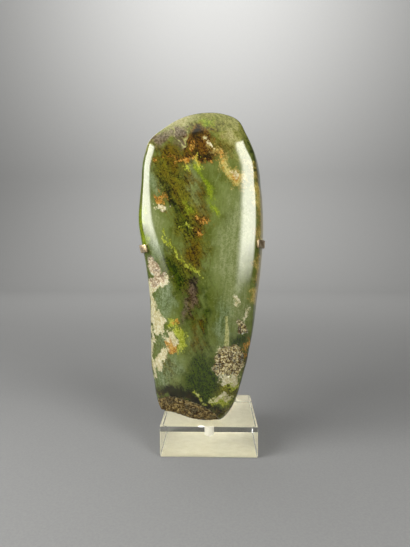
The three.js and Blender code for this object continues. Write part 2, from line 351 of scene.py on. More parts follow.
def show_shares(*names):
    for name in names:
        print(f"{name}: {np.mean(minerals[name] > 0) * 100:.1f}% of the surface")


print(f"boundaries wander by up to {np.hypot(wander_x, wander_up).max():.1f} mm")

# %% The ground edges and the pale wedge
butt_line = through_stations([[-32, 12], [-24, 16], [-18, 17.6], [-8, 14.8], [0, 11.5], [7, 7.4], [11, 2]])
broken_butt = butt_line(across) - up - 0.8 * np.maximum(depth + 4, 0)
blade = through_stations([[-36, 168], [-20, 176], [0, 181], [12, 177], [22, 170], [36, 164]])
on_bevel = up - blade(across)

wedge_half_width = 0.7 + 0.045 * (66 - up)
pale_wedge = np.minimum(wedge_half_width - np.abs(across - 15.3), np.minimum(up - 48, 67 - up))
pale_wedge -= beyond_edge(FRONT)
print(f"{np.mean(broken_butt > 0) * 100:.1f}% of the surface is the broken butt")

# %% Pale and blue-green clouds, and painted light on the bevels
minerals = {
    "pale": together(
        cloud(17, 104, 20, 8, 84),
        cloud(20, 76, 14, 6, 95),
        cloud(22, 122, 14, 6, 85) + 1.5,
        cloud(-16, 188, 9, 5, 28) + 1,
        vein(4.6, (-4.8, 160), (-7, 149), (-5, 138), (-2.5, 131)),
        cloud(-28, 126, 5, 1.6, -70),
        cloud(5, 120, 30, 10, 80, BACK),
    ),
    # painted light: the band over both bevels of the blade is painted paler, standing in for light shining
    # through the thin blade and off its upturned faces
    "top": together(
        np.minimum(on_bevel, 6) - beyond_edge(FRONT),
        np.minimum(on_bevel - 4, 4) - beyond_edge(BACK),
        cloud(18, 178, 10, 11, -40),
        cloud(25, 166, 9, 4, -70),
    ),
    "milk": together(
        cloud(-15, 188.5, 9, 5, 28),
        cloud(18, 177, 8, 7, -40) - 4.5,
    ),
    "teal": together(
        cloud(-22, 76, 10, 6, 85),
        cloud(-23.5, 51, 5, 3.6, 70),
        cloud(-21, 33, 10, 7, 50),
        cloud(-30, 150, 8, 3.4, -68),
        cloud(-28, 108, 7, 4, -70),
        cloud(13, 62, 12, 4, 85),
        cloud(14, 60, 40, 12, 80, BACK),
    ),
}
show_shares("pale", "top", "milk", "teal")

# %% Olive, deep green and brown clouds
minerals |= {
    "olive": together(
        cloud(-16, 146, 26, 8.5, -62),
        cloud(-8, 124, 22, 8, -70),
        cloud(-4, 105, 10, 5, 90),
        cloud(-14, 96, 12, 8, -70),
        cloud(17, 21, 8, 6.5, 25),
        cloud(-21, 37, 8, 2.6, -75),
        cloud(4, 184, 8, 4, -10),
        cloud(-20, 100, 30, 10, 70, BACK),
    ),
    "deep": together(
        cloud(0, 27, 20, 10, 85),
        cloud(22, 52, 5.5, 4.5, 0),
        cloud(-6, 76, 13, 6, 85),
        cloud(-15, 92, 13, 4.5, -62),
        cloud(-12, 128, 14, 2.4, -58),
        cloud(2, 60, 18, 2, 88),
        cloud(32, 160, 16, 3, -75),
        cloud(8, 40, 25, 10, 90, BACK),
    ),
    "brown": together(
        cloud(-16, 164, 12, 7, -25),
        cloud(0, 168, 16, 8, 0),
        cloud(-8, 151, 5, 2.4, -80),
        cloud(-16, 142, 12, 1.6, -62),
        vein(4, (0, 147), (1, 138), (3, 129)),
        vein(5, (-1, 129), (0, 118)),
        cloud(-4, 104, 9, 4.5, 88),
        cloud(-6, 78, 8, 3.4, 88),
        vein(0.9, (-4, 66), (-4, 46)),
        vein(0.8, (1, 64), (0.5, 48)),
        cloud(14, 6.5, 11, 3.6, 12),
        cloud(28, 41, 6, 2, 80),
        cloud(-4, 168, 24, 9, 0, BACK),
    ),
}
show_shares("olive", "deep", "brown")

# %% Bright green veins with a painted rim reflection, rust and mauve
minerals |= {
    "bright_veins_and_rim_reflection": together(
        vein(3, (-1, 156), (1.8, 149), (4.6, 142)),
        vein(2.4, (4.6, 142), (7.6, 134), (9.4, 129)),
        vein(2.0, (-10.5, 136), (-6.8, 129)),
        cloud(2, 187, 6, 3.6) - 0.6,
        vein(2.2, (-3, 158), (1, 150)),
        # painted reflection: this bright strip down the left rim stands in for light caught by the rounded
        # edge
        vein(4.5, (-37, 131), (-37, 116), (-35.6, 109)),
    ),
    "rust": together(
        cloud(-1, 174, 9, 10.5),
        cloud(-3, 163, 9, 3),
        cloud(8, 166, 5, 3, -40),
        cloud(-3, 181, 5, 3, 20),
        cloud(-1, 126, 3.4, 1.8),
        cloud(-0.5, 118, 2.6, 2.6),
        cloud(-24.5, 138.5, 5, 2, -60),
        vein(1.6, (35, 132), (36, 112), (34.5, 92), (32, 76), side=AROUND),
        vein(2.2, (-25, 19.5), (-16, 19), (-8, 16.5), (2, 12), (9, 8)),
    ),
    "mauve": together(
        cloud(-13.5, 179.5, 6.5, 5, -15),
        cloud(-13, 175, 3, 4.5),
        cloud(-25, 176.5, 6.5, 4, 20),
        cloud(-5, 79, 8, 2.2, 85),
        cloud(-10, 72, 6, 1.6, 85),
    ),
}
show_shares("bright_veins_and_rim_reflection", "rust", "mauve")

# %% Dark seams and painted shade, lime veins and gold spots
minerals |= {
    "dark_seams_and_butt_shade": together(
        # painted shade: these three clouds darken the ridge along the top of the broken butt; the rest are
        # dark seams in the stone
        cloud(-16.5, 20.5, 9.5, 4.2, -6),
        cloud(-2, 13.5, 9, 3.6, -28),
        cloud(8, 9.5, 6, 2.4, -30),
        cloud(-2, 178, 3, 4),
        cloud(1, 165, 6, 1.6, 10),
        cloud(-4.5, 170, 1.4, 5),
        cloud(-20, 141, 7, 0.6, -62),
        vein(0.8, (33, 160), (36, 146), side=AROUND),
        vein(1.2, (-14, 104), (-8, 93), (-3, 84)),
    ),
    "lime": together(
        vein(1.1, (-22.5, 117), (-21, 110.7), (-15.7, 104.8), (-9.2, 99), (-5.5, 94), (-2, 91.7)),
        cloud(-13, 54, 7, 3.6, -75),
        cloud(-17, 62, 3.6, 2.6),
        vein(1.2, (-3.8, 19.2), (0.6, 13.3)),
        cloud(-1.5, 160, 2.4, 1.7, -60),
        cloud(-8.6, 156, 2.4, 1.7, -60),
        cloud(-9, 132, 4, 0.5, -60) - 0.8,
        vein(0.2, (-12, 122.5), (-5, 119.5)) - 0.6,
        cloud(12, 15, 7, 3.2, 12),
        cloud(20, 26, 5, 3, 50),
    ),
    "gold": together(
        cloud(-6.5, 170.3, 2.2, 1.4, 50),
        cloud(-24.6, 138.2, 4, 1.6, -60),
        cloud(-18.7, 48.7, 3.8, 3.8),
        cloud(-15, 62.5, 2, 1.4),
        cloud(11, 163, 3, 0.8, -65),
        cloud(20, 152, 2.6, 1.6, -40),
        cloud(1, 125.5, 1.6, 0.5, -20),
        cloud(0.5, 117.5, 1.6, 1.4),
        cloud(-6, 161.5, 5, 0.5, -5),
        cloud(28.4, 47, 3, 1, 80),
    ),
}
show_shares("dark_seams_and_butt_shade", "lime", "gold")

# %% Crusts, threads and cortex
minerals |= {
    "ochre": together(
        vein(2.4, (31, 160), (33.5, 148), side=AROUND),
        vein(5, (33, 146), (35.6, 139), (37.6, 126), (38, 107), (36, 92), (33, 76), side=AROUND),
        cloud(9, 168, 6, 2, -52) - 0.8,
        cloud(15, 158, 10, 3.2, -56) - 0.5,
        cloud(20.5, 151, 6, 3.8, -50),
    ),
    "cream": together(
        vein(3.6, (-30.2, 84), (-26.5, 84.7), (-21.8, 88.8)),
        vein(3.8, (-31.6, 88), (-31, 76), (-31, 68)),
        cloud(-26.5, 62.5, 8, 4.2, -72),
        vein(1.8, (-24, 56), (-20, 50)),
        cloud(-17.5, 54, 4, 2.4, -70),
        cloud(-24.5, 40, 6.2, 3, 62),
        vein(2.4, (-31.5, 58), (-30.8, 46), (-30, 38), (-30, 28)),
        cloud(20.5, 77, 2.8, 1, 105),
        cloud(27.3, 67.5, 2.4, 0.8, 90),
        cloud(10.5, 45.8, 2.2, 1.8),
        cloud(15.5, 27.3, 5, 2.6, -20),
        cloud(21.5, 28.5, 4, 2.6, 60),
        cloud(12, 16.5, 5, 1.6, 15),
        cloud(6.2, 172.5, 2.2, 0.8, -52),
        cloud(19.6, 153.6, 1.8, 0.8, -52),
        cloud(-23.6, 133, 3.6, 1, -20),
        cloud(-24, 70, 16, 5, 80, BACK),
    ),
    "threads": together(
        pale_wedge,
        vein(1.0, (-20.5, 183), (-12, 171), (-7.3, 181)) - 0.2,
        vein(0.6, (-3.4, 19.6), (0.6, 13.3)),
    ),
    "cortex": together(
        cloud(-28.5, 96, 6, 4, -74),
        cloud(-27, 89.5, 5.2, 4, 10),
        cloud(17.5, 40, 10.5, 8.2, 70),
        cloud(13, 35, 6, 5, 20),
        cloud(24.5, 60.5, 5, 2.8, 95),
        broken_butt,
        cloud(20, 86, 12, 7, 70, BACK),
    ),
}
show_shares("ochre", "cream", "threads", "cortex")

# %% [markdown]
# ## Rough cortex in relief
# Where the polisher's stone never reached, the weathered skin of the boulder is left: a crust of
# grains with pits between them. Bump alone would leave it flat at the outline. It follows the
# surface, so Geometry Nodes make it: the tree reads the cortex field, sinks the skin a little
# below the polish, and cuts pits between the grains.

# %% Give the mesh its fields
def store(piece, name, values):
    layer = piece.data.attributes.new(name, "FLOAT", "POINT")
    layer.data.foreach_set("value", np.asarray(values, np.float32))


for mineral, inside in minerals.items():
    store(axe, mineral, inside)
store(axe, "bleached", cloud(-28, 93, 14, 12))  # the crust is paler high on the left
store(axe, "browned_and_shaded", broken_butt)  # and darker and browner on the broken butt: partly a browner crust, partly painted shade on its downturned break
print(f"the axe carries {len(minerals) + 2} fields")


# %% A tree that sinks and pits the cortex
def cortex_tree(material):
    tree = bpy.data.node_groups.new("cortex relief", "GeometryNodeTree")
    face = tree.interface
    face.new_socket("Geometry", in_out="INPUT", socket_type="NodeSocketGeometry")
    for label, value in (("Grain", 2.0), ("Pit Depth", 0.7), ("Sink", 0.25), ("Fray", 1.2)):
        face.new_socket(label, in_out="INPUT", socket_type="NodeSocketFloat").default_value = value
    face.new_socket("Geometry", in_out="OUTPUT", socket_type="NodeSocketGeometry")
    nodes = tree.nodes

    def add(kind, links=(), **settings):
        made = nodes.new(kind)
        for key, value in settings.items():
            setattr(made, key, value)
        for socket, source in links:
            if isinstance(source, bpy.types.NodeSocket):
                tree.links.new(source, made.inputs[socket])
            else:
                made.inputs[socket].default_value = source
        return made

    def sum_of(operation, a, b):
        return add("ShaderNodeMath", [(0, a), (1, b)], operation=operation).outputs[0]

    sizes = nodes.new("NodeGroupInput").outputs
    position = add("GeometryNodeInputPosition").outputs[0]
    place = add("ShaderNodeVectorMath", [(0, position)], operation="SCALE")
    place.inputs["Scale"].default_value = 1 / MM
    named = add("GeometryNodeInputNamedAttribute", [("Name", "cortex")], data_type="FLOAT")
    field = named.outputs["Attribute"]
    ragged = add("ShaderNodeTexNoise", [("Vector", place.outputs[0]), ("Scale", 0.35), ("Detail", 3.0)])
    uneven_edge = sum_of("SUBTRACT", sum_of("MULTIPLY", ragged.outputs[0], 2.0), 1.0)
    shift = sum_of("MULTIPLY", uneven_edge, sizes["Fray"])
    edge = add("ShaderNodeMapRange", [(0, sum_of("ADD", field, shift)), (1, -0.2), (2, 0.8)])
    spacing = sum_of("DIVIDE", 1.0, sizes["Grain"])
    grains = add("ShaderNodeTexVoronoi", [("Vector", place.outputs[0]), ("Scale", spacing)], feature="F1")
    uneven = sum_of("MULTIPLY", grains.outputs["Distance"], sum_of("ADD", ragged.outputs[0], 0.5))
    pits = sum_of("MULTIPLY", sum_of("POWER", uneven, 2.0), sizes["Pit Depth"])
    drop = sum_of("MULTIPLY", edge.outputs[0], sum_of("ADD", pits, sizes["Sink"]))
    inward = add("ShaderNodeVectorMath", [(0, add("GeometryNodeInputNormal").outputs[0])], operation="SCALE")
    tree.links.new(sum_of("MULTIPLY", drop, -MM), inward.inputs["Scale"])
    moved = add("GeometryNodeSetPosition", [("Geometry", sizes["Geometry"]), ("Offset", inward.outputs[0])])
    real = add("GeometryNodeRealizeInstances", [("Geometry", moved.outputs[0])])
    painted = add("GeometryNodeSetMaterial", [("Geometry", real.outputs[0]), ("Material", material)])
    tree.links.new(painted.outputs[0], nodes.new("NodeGroupOutput").inputs[0])
    return tree


def apply_tree(piece, tree, **sizes):
    """Runs a Geometry Nodes tree on a piece and keeps its result as a plain mesh."""
    modifier = piece.modifiers.new(tree.name, "NODES")
    modifier.node_group = tree
    socket = {item.name: item.identifier for item in tree.interface.items_tree if item.in_out == "INPUT"}
    for name, value in sizes.items():
        modifier[socket[name.replace("_", " ").title()]] = value
    seen = bpy.context.evaluated_depsgraph_get()
    made = piece.evaluated_get(seen)
    result = bpy.data.meshes.new_from_object(made, preserve_all_data_layers=True, depsgraph=seen)
    piece.modifiers.remove(modifier)
    piece.data = result
    print(f"{piece.name}: {len(result.polygons)} faces after {tree.name}")


# %% [markdown]
# ## Short ways to mix paints
# A Blender material is a web of nodes. This small class adds the few that the stone, the acrylic
# and the brass all need, measured in millimetres on the piece itself, so that a pattern keeps its
# real size and never slides.

# %% The paintbox
def paint(red, green, blue):
    """A screen colour, 0 to 255, as the linear light that Blender mixes."""
    shown = np.array([red, green, blue]) / 255
    return (*np.where(shown <= 0.04045, shown / 12.92, ((shown + 0.055) / 1.055) ** 2.4), 1.0)


class Paintbox:
    """One material and short ways to add nodes to it."""

    def __init__(self, name):
        self.material = bpy.data.materials.new(name)
        self.material.use_nodes = True
        self.tree = self.material.node_tree
        self.tree.nodes.clear()
        self.shader = self.tree.nodes.new("ShaderNodeBsdfPrincipled")
        output = self.tree.nodes.new("ShaderNodeOutputMaterial")
        self.tree.links.new(self.shader.outputs[0], output.inputs[0])
        place = self.tree.nodes.new("ShaderNodeTexCoord").outputs["Object"]
        self.place = self.node("VectorMath", {0: place, "Scale": 1 / MM}, operation="SCALE").outputs[0]

    def node(self, kind, inputs, **settings):
        made = self.tree.nodes.new("ShaderNode" + kind)
        for key, value in settings.items():
            setattr(made, key, value)
        for socket, source in inputs.items():
            if isinstance(source, bpy.types.NodeSocket):
                self.tree.links.new(source, made.inputs[socket])
            else:
                made.inputs[socket].default_value = source
        return made

    def sum(self, operation, a, b):
        return self.node("Math", {0: a, 1: b}, operation=operation).outputs[0]

    def times(self, a, b):
        return self.sum("MULTIPLY", a, b)

    def plus(self, *parts):
        total = parts[0]
        for part in parts[1:]:
            total = self.sum("ADD", total, part)
        return total

    def turned(self, lean, stretch):
        """The place in millimetres, leaned about the level line of sight and stretched upwards."""
        inputs = {"Vector": self.place, "Angle": math.radians(lean)}
        turn = self.node("VectorRotate", inputs, rotation_type="Y_AXIS")
        return self.node("Mapping", {"Vector": turn.outputs[0], "Scale": (1, 1, 1 / stretch)}).outputs[0]

    def noise(self, size, detail=4.0, rough=0.55, lean=0, stretch=1, warp=0.0):
        """Three unlike noises about zero, with features of this size in millimetres."""
        inputs = {"Vector": self.turned(lean, stretch), "Scale": 1 / size, "Detail": detail}
        inputs |= {"Roughness": rough, "Distortion": warp}
        colour = self.node("TexNoise", inputs).outputs["Color"]
        parts = self.node("SeparateColor", {0: colour}).outputs
        return [self.sum("SUBTRACT", part, 0.5) for part in parts[:3]]

    def cells(self, size, lean=0, stretch=1):
        """How far each place lies from the middle of its cell, for cells of this size in millimetres."""
        inputs = {"Vector": self.turned(lean, stretch), "Scale": 1 / size}
        return self.node("TexVoronoi", inputs, feature="F1").outputs["Distance"]

    def field(self, name):
        return self.node("Attribute", {}, attribute_name=name).outputs["Fac"]

    def between(self, value, start, end, low=0.0, high=1.0):
        inputs = {"Value": value, "From Min": start, "From Max": end, "To Min": low, "To Max": high}
        return self.node("MapRange", inputs, interpolation_type="SMOOTHSTEP").outputs[0]

    def mix(self, share, under, over, blend="MIX"):
        return self.node("Mix", {0: share, 6: under, 7: over}, data_type="RGBA", blend_type=blend).outputs[2]

    def bump(self, height):
        """The normal of a surface with this height in millimetres."""
        return self.node("Bump", {"Height": height, "Distance": MM, "Strength": 1.0}).outputs[0]


# %% [markdown]
# ## Polished jadeite
# Each mineral is laid over the last, from the broad clouds to the small crusts. A boundary is
# frayed by coarse noise, fine noise and long fibres, in shares that suit the mineral: clouds are
# soft, veins are fibrous, and crusts are crisp. One texture could not mix soft and crisp edges in
# one stone, and separate layers can. The polish is one wet-looking gloss over them all, and only
# the cortex is dull.

# %% The stone's base greens
LIGHT_ON_STONE, GLOSS_ON_STONE = 2.9, 0.016


def lit(red, green, blue):
    """The stone's own colour, from the screen colour that it should show in this light."""
    shown = np.array(paint(red, green, blue)[:3])
    return (*np.clip((shown - GLOSS_ON_STONE) / LIGHT_ON_STONE, 0.0008, 0.8), 1.0)


stone = Paintbox("polished jadeite")
broad = stone.noise(16, 3, 0.5)
veils = stone.noise(7, 5, 0.62, lean=-12, stretch=2.2, warp=1.4)
coarse = stone.noise(5, 4, 0.6)
fine = stone.noise(1.5, 4, 0.65)
grain = stone.noise(0.6, 3, 0.6)
slant = stone.noise(1.4, 5, 0.65, lean=FIBRE_LEAN, stretch=7, warp=0.5)
upright = stone.noise(1.6, 5, 0.62, lean=-5, stretch=8, warp=0.4)

colour = stone.mix(stone.between(broad[0], -0.12, 0.12), lit(104, 114, 54), lit(126, 137, 74))
colour = stone.mix(stone.times(stone.between(upright[0], 0.0, 0.22), 0.65), colour, lit(84, 94, 38))
colour = stone.mix(stone.times(stone.between(veils[1], 0.03, 0.2), 0.5), colour, lit(152, 162, 104))
colour = stone.mix(stone.times(stone.between(fine[0], 0.03, 0.22), 0.5), colour, lit(148, 157, 96))
colour = stone.mix(stone.times(stone.between(grain[2], 0.08, 0.24), 0.45), colour, lit(70, 78, 26))
print(f"the base greens use {len(stone.tree.nodes)} nodes")

# %% The minerals, laid over one another
# Each row: tone of its dark and its light grains, softness in mm, frays in mm (coarse, fine and
# fibrous), strength, and which way its fibres run.
LAYERS = {
    # painted light: a paler band over the blade's bevels
    "top": ((114, 116, 44), (178, 174, 98), 5.0, (9, 6, 3), 0.85, slant),
    "pale": ((130, 140, 84), (170, 178, 126), 5.0, (6, 4, 5), 0.85, upright),
    "milk": ((176, 166, 106), (214, 206, 154), 4.5, (6, 6, 3), 0.75, slant),
    "teal": ((98, 114, 66), (156, 170, 128), 3.5, (7, 4, 4), 0.9, upright),
    "olive": ((70, 68, 14), (134, 130, 46), 4.0, (9, 6, 12), 0.95, slant),
    "deep": ((34, 50, 4), (78, 94, 20), 4.0, (8, 4, 7), 0.95, slant),
    "brown": ((64, 50, 14), (122, 100, 36), 3.4, (9, 6, 9), 0.85, slant),
    # bright green veins, and a painted reflection down the left rim
    "bright_veins_and_rim_reflection": ((106, 128, 16), (170, 188, 56), 1.8, (5, 6, 9), 0.85, slant),
    "mauve": ((82, 66, 50), (146, 128, 110), 2.0, (5, 4, 4), 0.85, slant),
    "rust": ((58, 36, 10), (136, 98, 42), 2.4, (10, 7, 8), 0.9, slant),
    # dark seams in the stone, and painted shade along the top of the broken butt
    "dark_seams_and_butt_shade": ((18, 20, 2), (50, 48, 8), 2.2, (6, 4, 6), 0.92, slant),
    "lime": ((146, 156, 34), (218, 224, 96), 0.9, (5, 9, 7), 0.85, slant),
    "ochre": ((186, 156, 66), (248, 230, 142), 2.6, (7, 11, 6), 0.78, slant),
    "gold": ((168, 102, 32), (238, 190, 96), 0.9, (5, 9, 6), 0.9, slant),
    "cream": ((210, 196, 138), (254, 248, 208), 0.7, (4, 6, 3), 0.95, slant),
    "threads": ((156, 156, 82), (218, 216, 150), 0.5, (0.8, 2.0, 1.2), 0.9, upright),
}
for mineral, (low, high, soft, frays, strength, fibres) in LAYERS.items():
    fraying = [stone.times(noises[1], amount) for noises, amount in zip((coarse, fine, fibres), frays)]
    share = stone.between(stone.plus(stone.field(mineral), *fraying), -soft, soft, 0.0, strength)
    grains = stone.between(stone.plus(fine[0], fibres[2], grain[1]), -0.25, 0.25)
    colour = stone.mix(share, colour, stone.mix(grains, lit(*low), lit(*high)))
print(f"{len(LAYERS)} minerals are laid over the base")

# %% Specks and crust
flecks = stone.cells(1.3, lean=FIBRE_LEAN, stretch=2.2)
speckled = stone.times(stone.between(flecks, 0.30, 0.16), stone.between(coarse[2], 0.03, 0.16))
near_iron = stone.between(stone.plus(stone.field("olive"), stone.times(coarse[0], 8)), -3, 3)
colour = stone.mix(stone.times(stone.times(speckled, near_iron), 0.6), colour, lit(190, 166, 60))

ragged_cortex = stone.plus(stone.field("cortex"), stone.times(coarse[0], 4), stone.times(fine[2], 3))
cortex = stone.between(ragged_cortex, -0.5, 0.5)
pits = stone.cells(1.7)
rubble = stone.noise(1.0, 3, 0.7)
hollow = stone.plus(rubble[0], stone.times(grain[0], 0.6), stone.times(pits, 0.22))
pitted = stone.between(hollow, 0.06, 0.17)
bleached = stone.between(stone.field("bleached"), -3, 3)
browned_and_shaded = stone.between(stone.field("browned_and_shaded"), -3, 3)
crust = stone.mix(stone.between(rubble[1], -0.1, 0.1), lit(204, 184, 112), lit(252, 240, 192))
crust = stone.mix(stone.between(coarse[1], 0.03, 0.1), crust, lit(160, 158, 132))
crust = stone.mix(stone.times(bleached, 0.5), crust, lit(248, 228, 204))
hollows = stone.mix(stone.between(rubble[2], -0.1, 0.1), lit(44, 26, 2), lit(116, 84, 32))
hollows = stone.mix(stone.times(bleached, 0.6), hollows, lit(160, 126, 90))
pitted = stone.times(pitted, stone.plus(0.97, stone.times(bleached, -0.25)))
crust = stone.mix(pitted, crust, hollows)
# painted shade, tinted brown: the crust on the downturned broken butt is multiplied darker
crust = stone.mix(stone.times(browned_and_shaded, 0.9), crust, (0.62, 0.52, 0.36, 1.0), blend="MULTIPLY")
colour = stone.mix(cortex, colour, crust)
print(f"with specks and crust the stone has {len(stone.tree.nodes)} nodes")

# %% The stone's polish
shader = stone.shader
stone.tree.links.new(colour, shader.inputs["Base Color"])
shader.inputs["IOR"].default_value = 1.58
shader.inputs["Specular Tint"].default_value = (1.0, 0.99, 0.87, 1.0)
stone.tree.links.new(stone.between(cortex, 0.0, 1.0, 0.12, 0.0), shader.inputs["Subsurface Weight"])
shader.inputs["Subsurface Radius"].default_value = (0.0016, 0.0024, 0.0010)
shader.inputs["Subsurface Scale"].default_value = 1.0
polish = stone.plus(0.085, stone.times(stone.between(fine[1], -0.1, 0.3), 0.07))
rough = stone.node("Mix", {0: cortex, 2: polish, 3: 0.62}, data_type="FLOAT").outputs[0]
stone.tree.links.new(rough, shader.inputs["Roughness"])
sheen = stone.between(cortex, 0.0, 1.0, 0.5, 0.12)
stone.tree.links.new(sheen, shader.inputs["Specular IOR Level"])
ripple = stone.times(broad[1], 0.12)
crumble = stone.times(cortex, stone.plus(stone.times(pits, -0.5), stone.times(grain[0], 0.4)))
stone.tree.links.new(stone.bump(stone.plus(ripple, crumble)), shader.inputs["Normal"])
print(f"the stone's material has {len(stone.tree.nodes)} nodes")

# %% Roughen the cortex and hand the axe over
apply_tree(axe, cortex_tree(stone.material), grain=2.0, pit_depth=0.8, sink=0.25, fray=1.2)
axe.data.polygons.foreach_set("use_smooth", [True] * len(axe.data.polygons))
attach(axe, "root")
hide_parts("axe_head")

# %% [markdown]
# ## The acrylic block
# The block is cast acrylic, sawn square and polished, with edges just broken by a scraper. A
# drill left a frosted bore for the stem, ending in the cone of the bit, and the front edge has a
# small chip. It is a box whose edges are beveled and whose bore and chip are cut by booleans. The
# cuts are few and plain, so booleans are quick, and they leave the polished faces flat.

# %% Sizes and ways to cut the block
low_corner, high_corner = block_low * MM, block_high * MM
BLOCK_BEVEL = 0.4 * MM
BORE_RADIUS, BORE_FLOOR, BORE_Y, BORE_SIDES = 3.1 * MM, 5.8 * MM, 2.0 * MM, 48
DRILL_POINT = math.radians(118)
CHIP_X, CHIP_RADIUS, CHIP_DEPTH = -4.6 * MM, 9 * MM, 0.45 * MM
CHIP_RINGS, CHIP_SIDES = 16, 40
SAME_PLACE = 1e-7  # metres within which two corners are one


def from_bmesh(name, bm):
    bmesh.ops.remove_doubles(bm, verts=bm.verts, dist=SAME_PLACE)
    bmesh.ops.recalc_face_normals(bm, faces=bm.faces)
    mesh = bpy.data.meshes.new(name)
    bm.to_mesh(mesh)
    bm.free()
    piece = bpy.data.objects.new(name, mesh)
    bpy.context.scene.collection.objects.link(piece)
    return piece


def box_piece(name, low, high, bevel, segments):
    bm = bmesh.new()
    bmesh.ops.create_cube(bm, size=1)
    size, middle = np.array(high) - low, (np.array(high) + low) / 2
    bmesh.ops.scale(bm, vec=size, verts=bm.verts)
    bmesh.ops.translate(bm, vec=middle, verts=bm.verts)
    bmesh.ops.bevel(bm, geom=bm.edges[:], offset=bevel, segments=segments, profile=0.5, affect="EDGES")
    return from_bmesh(name, bm)


def turned_piece(name, profile, steps, centre):
    """A closed turned form: its profile is a list of (radius, height), starting and ending on the axis."""
    bm = bmesh.new()
    x, y = centre
    rows = []
    for radius, height in profile:
        angles = [math.tau * i / steps for i in range(steps if radius else 1)]
        places = [(x + radius * math.cos(a), y + radius * math.sin(a), height) for a in angles]
        rows.append([bm.verts.new(place) for place in places])
    for low_row, high_row in zip(rows, rows[1:]):
        for i in range(steps):
            ring = [row[k % steps % len(row)] for row, k in ((low_row, i), (low_row, i + 1))]
            ring += [row[k % steps % len(row)] for row, k in ((high_row, i + 1), (high_row, i))]
            ring = list(dict.fromkeys(ring))
            if len(ring) > 2:
                bm.faces.new(ring)
    return from_bmesh(name, bm)


def cut(piece, tool):
    modifier = piece.modifiers.new("cut", "BOOLEAN")
    modifier.object, modifier.solver, modifier.operation = tool, "EXACT", "DIFFERENCE"
    seen = piece.evaluated_get(bpy.context.evaluated_depsgraph_get())
    result = bpy.data.meshes.new_from_object(seen)
    piece.modifiers.remove(modifier)
    piece.data = result
    bpy.data.objects.remove(tool)


print(f"the block measures {(block_high - block_low).round(1).tolist()} mm")

# %% Make the block
block = box_piece("acrylic_block", low_corner, high_corner, BLOCK_BEVEL, 2)
cone = BORE_RADIUS / math.tan(DRILL_POINT / 2)
above = high_corner[2] + MM
bore_profile = [(0, BORE_FLOOR - cone), (BORE_RADIUS, BORE_FLOOR), (BORE_RADIUS, above), (0, above)]
cut(block, turned_piece("drill", bore_profile, BORE_SIDES, (0, BORE_Y)))
chip_out = (CHIP_RADIUS - CHIP_DEPTH) * math.sqrt(0.5)
chip_y, chip_z = low_corner[1] - chip_out, high_corner[2] + chip_out
flake = [(0, chip_z - CHIP_RADIUS)]
for i in range(1, CHIP_RINGS):
    a = math.pi * i / CHIP_RINGS
    flake.append((CHIP_RADIUS * math.sin(a), chip_z - CHIP_RADIUS * math.cos(a)))
flake.append((0, chip_z + CHIP_RADIUS))
cut(block, turned_piece("flake", flake, CHIP_SIDES, (CHIP_X, chip_y)))
print(f"the block has {len(block.data.polygons)} faces")

# %% [markdown]
# ## Clear acrylic and its frosted bore
# Acrylic bends light less than glass does. Its faces carry the hair scratches that wiping leaves.
# The sawn underside is matt and milky, and seen through the clear faces it makes the whole block
# look pale. The drill's bore is frosted white because its wall was never polished. Three plain
# materials on one mesh are simpler than one that works out which face it is on.

# %% Acrylic materials
clear = Paintbox("clear acrylic")
clear.shader.inputs["Base Color"].default_value = paint(250, 249, 240)
clear.shader.inputs["Transmission Weight"].default_value = 1.0
clear.shader.inputs["IOR"].default_value = 1.49
wiped = clear.noise(0.25, 3, 0.7, lean=62, stretch=40)
smear = clear.noise(9, 3, 0.6)
scuffs = clear.between(clear.plus(wiped[0], smear[0]), 0.0, 0.5, 0.02, 0.14)
clear.tree.links.new(scuffs, clear.shader.inputs["Roughness"])
clear.tree.links.new(clear.bump(clear.times(wiped[1], 0.004)), clear.shader.inputs["Normal"])

matt = Paintbox("matt acrylic")
matt.shader.inputs["Transmission Weight"].default_value = 0.12
matt.shader.inputs["IOR"].default_value = 1.49
haze = matt.noise(6, 4, 0.6)
worn_lines = matt.noise(0.3, 3, 0.7, lean=88, stretch=30)
milky = matt.mix(matt.between(haze[0], -0.2, 0.2), paint(232, 225, 192), paint(244, 238, 209))
matt.tree.links.new(milky, matt.shader.inputs["Base Color"])
dull = matt.between(matt.plus(haze[1], worn_lines[0]), -0.2, 0.3, 0.3, 0.5)
matt.tree.links.new(dull, matt.shader.inputs["Roughness"])

frosted = Paintbox("frosted acrylic")
rings = frosted.noise(0.35, 3, 0.6, stretch=0.3)
white = frosted.mix(frosted.between(rings[1], -0.2, 0.2), paint(246, 243, 232), paint(255, 254, 248))
frosted.tree.links.new(white, frosted.shader.inputs["Base Color"])
frosted.shader.inputs["Roughness"].default_value = 0.5
frosted.tree.links.new(frosted.bump(frosted.times(rings[0], 0.1)), frosted.shader.inputs["Normal"])
print("the block's finishes:", [finish.material.name for finish in (clear, matt, frosted)])

# %% Each face of the block gets its finish
CLEAR, MATT, FROSTED = 0, 1, 2
NEAR, HAIR = 0.05 * MM, 0.01 * MM
chip_centre = Vector((CHIP_X, chip_y, chip_z))
for finish in (clear, matt, frosted):
    block.data.materials.append(finish.material)
for face in block.data.polygons:
    x, y, z = face.center
    in_bore = math.hypot(x, y - BORE_Y) < BORE_RADIUS + NEAR and MM < z < high_corner[2] - NEAR
    in_chip = (face.center - chip_centre).length < CHIP_RADIUS + HAIR
    underneath = face.normal.z < -0.99 and z < low_corner[2] + NEAR
    face.material_index = FROSTED if in_bore or in_chip else MATT if underneath else CLEAR
finishes = [face.material_index for face in block.data.polygons]
print("clear, matt and frosted faces:", [finishes.count(index) for index in (CLEAR, MATT, FROSTED)])
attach(block, "root")
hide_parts("base_block")

# %% [markdown]
# ## The brass mount
# The mount maker bent one flat strip of brass round the stone, brazed it to a rod, and toned the
# metal brown so that it hides against the stone. Handling has rubbed it back to pale brass in
# patches. The strip could be swept along a curve again, but it and the rod are already right in
# the CAD model, so their copies only get softened edges.

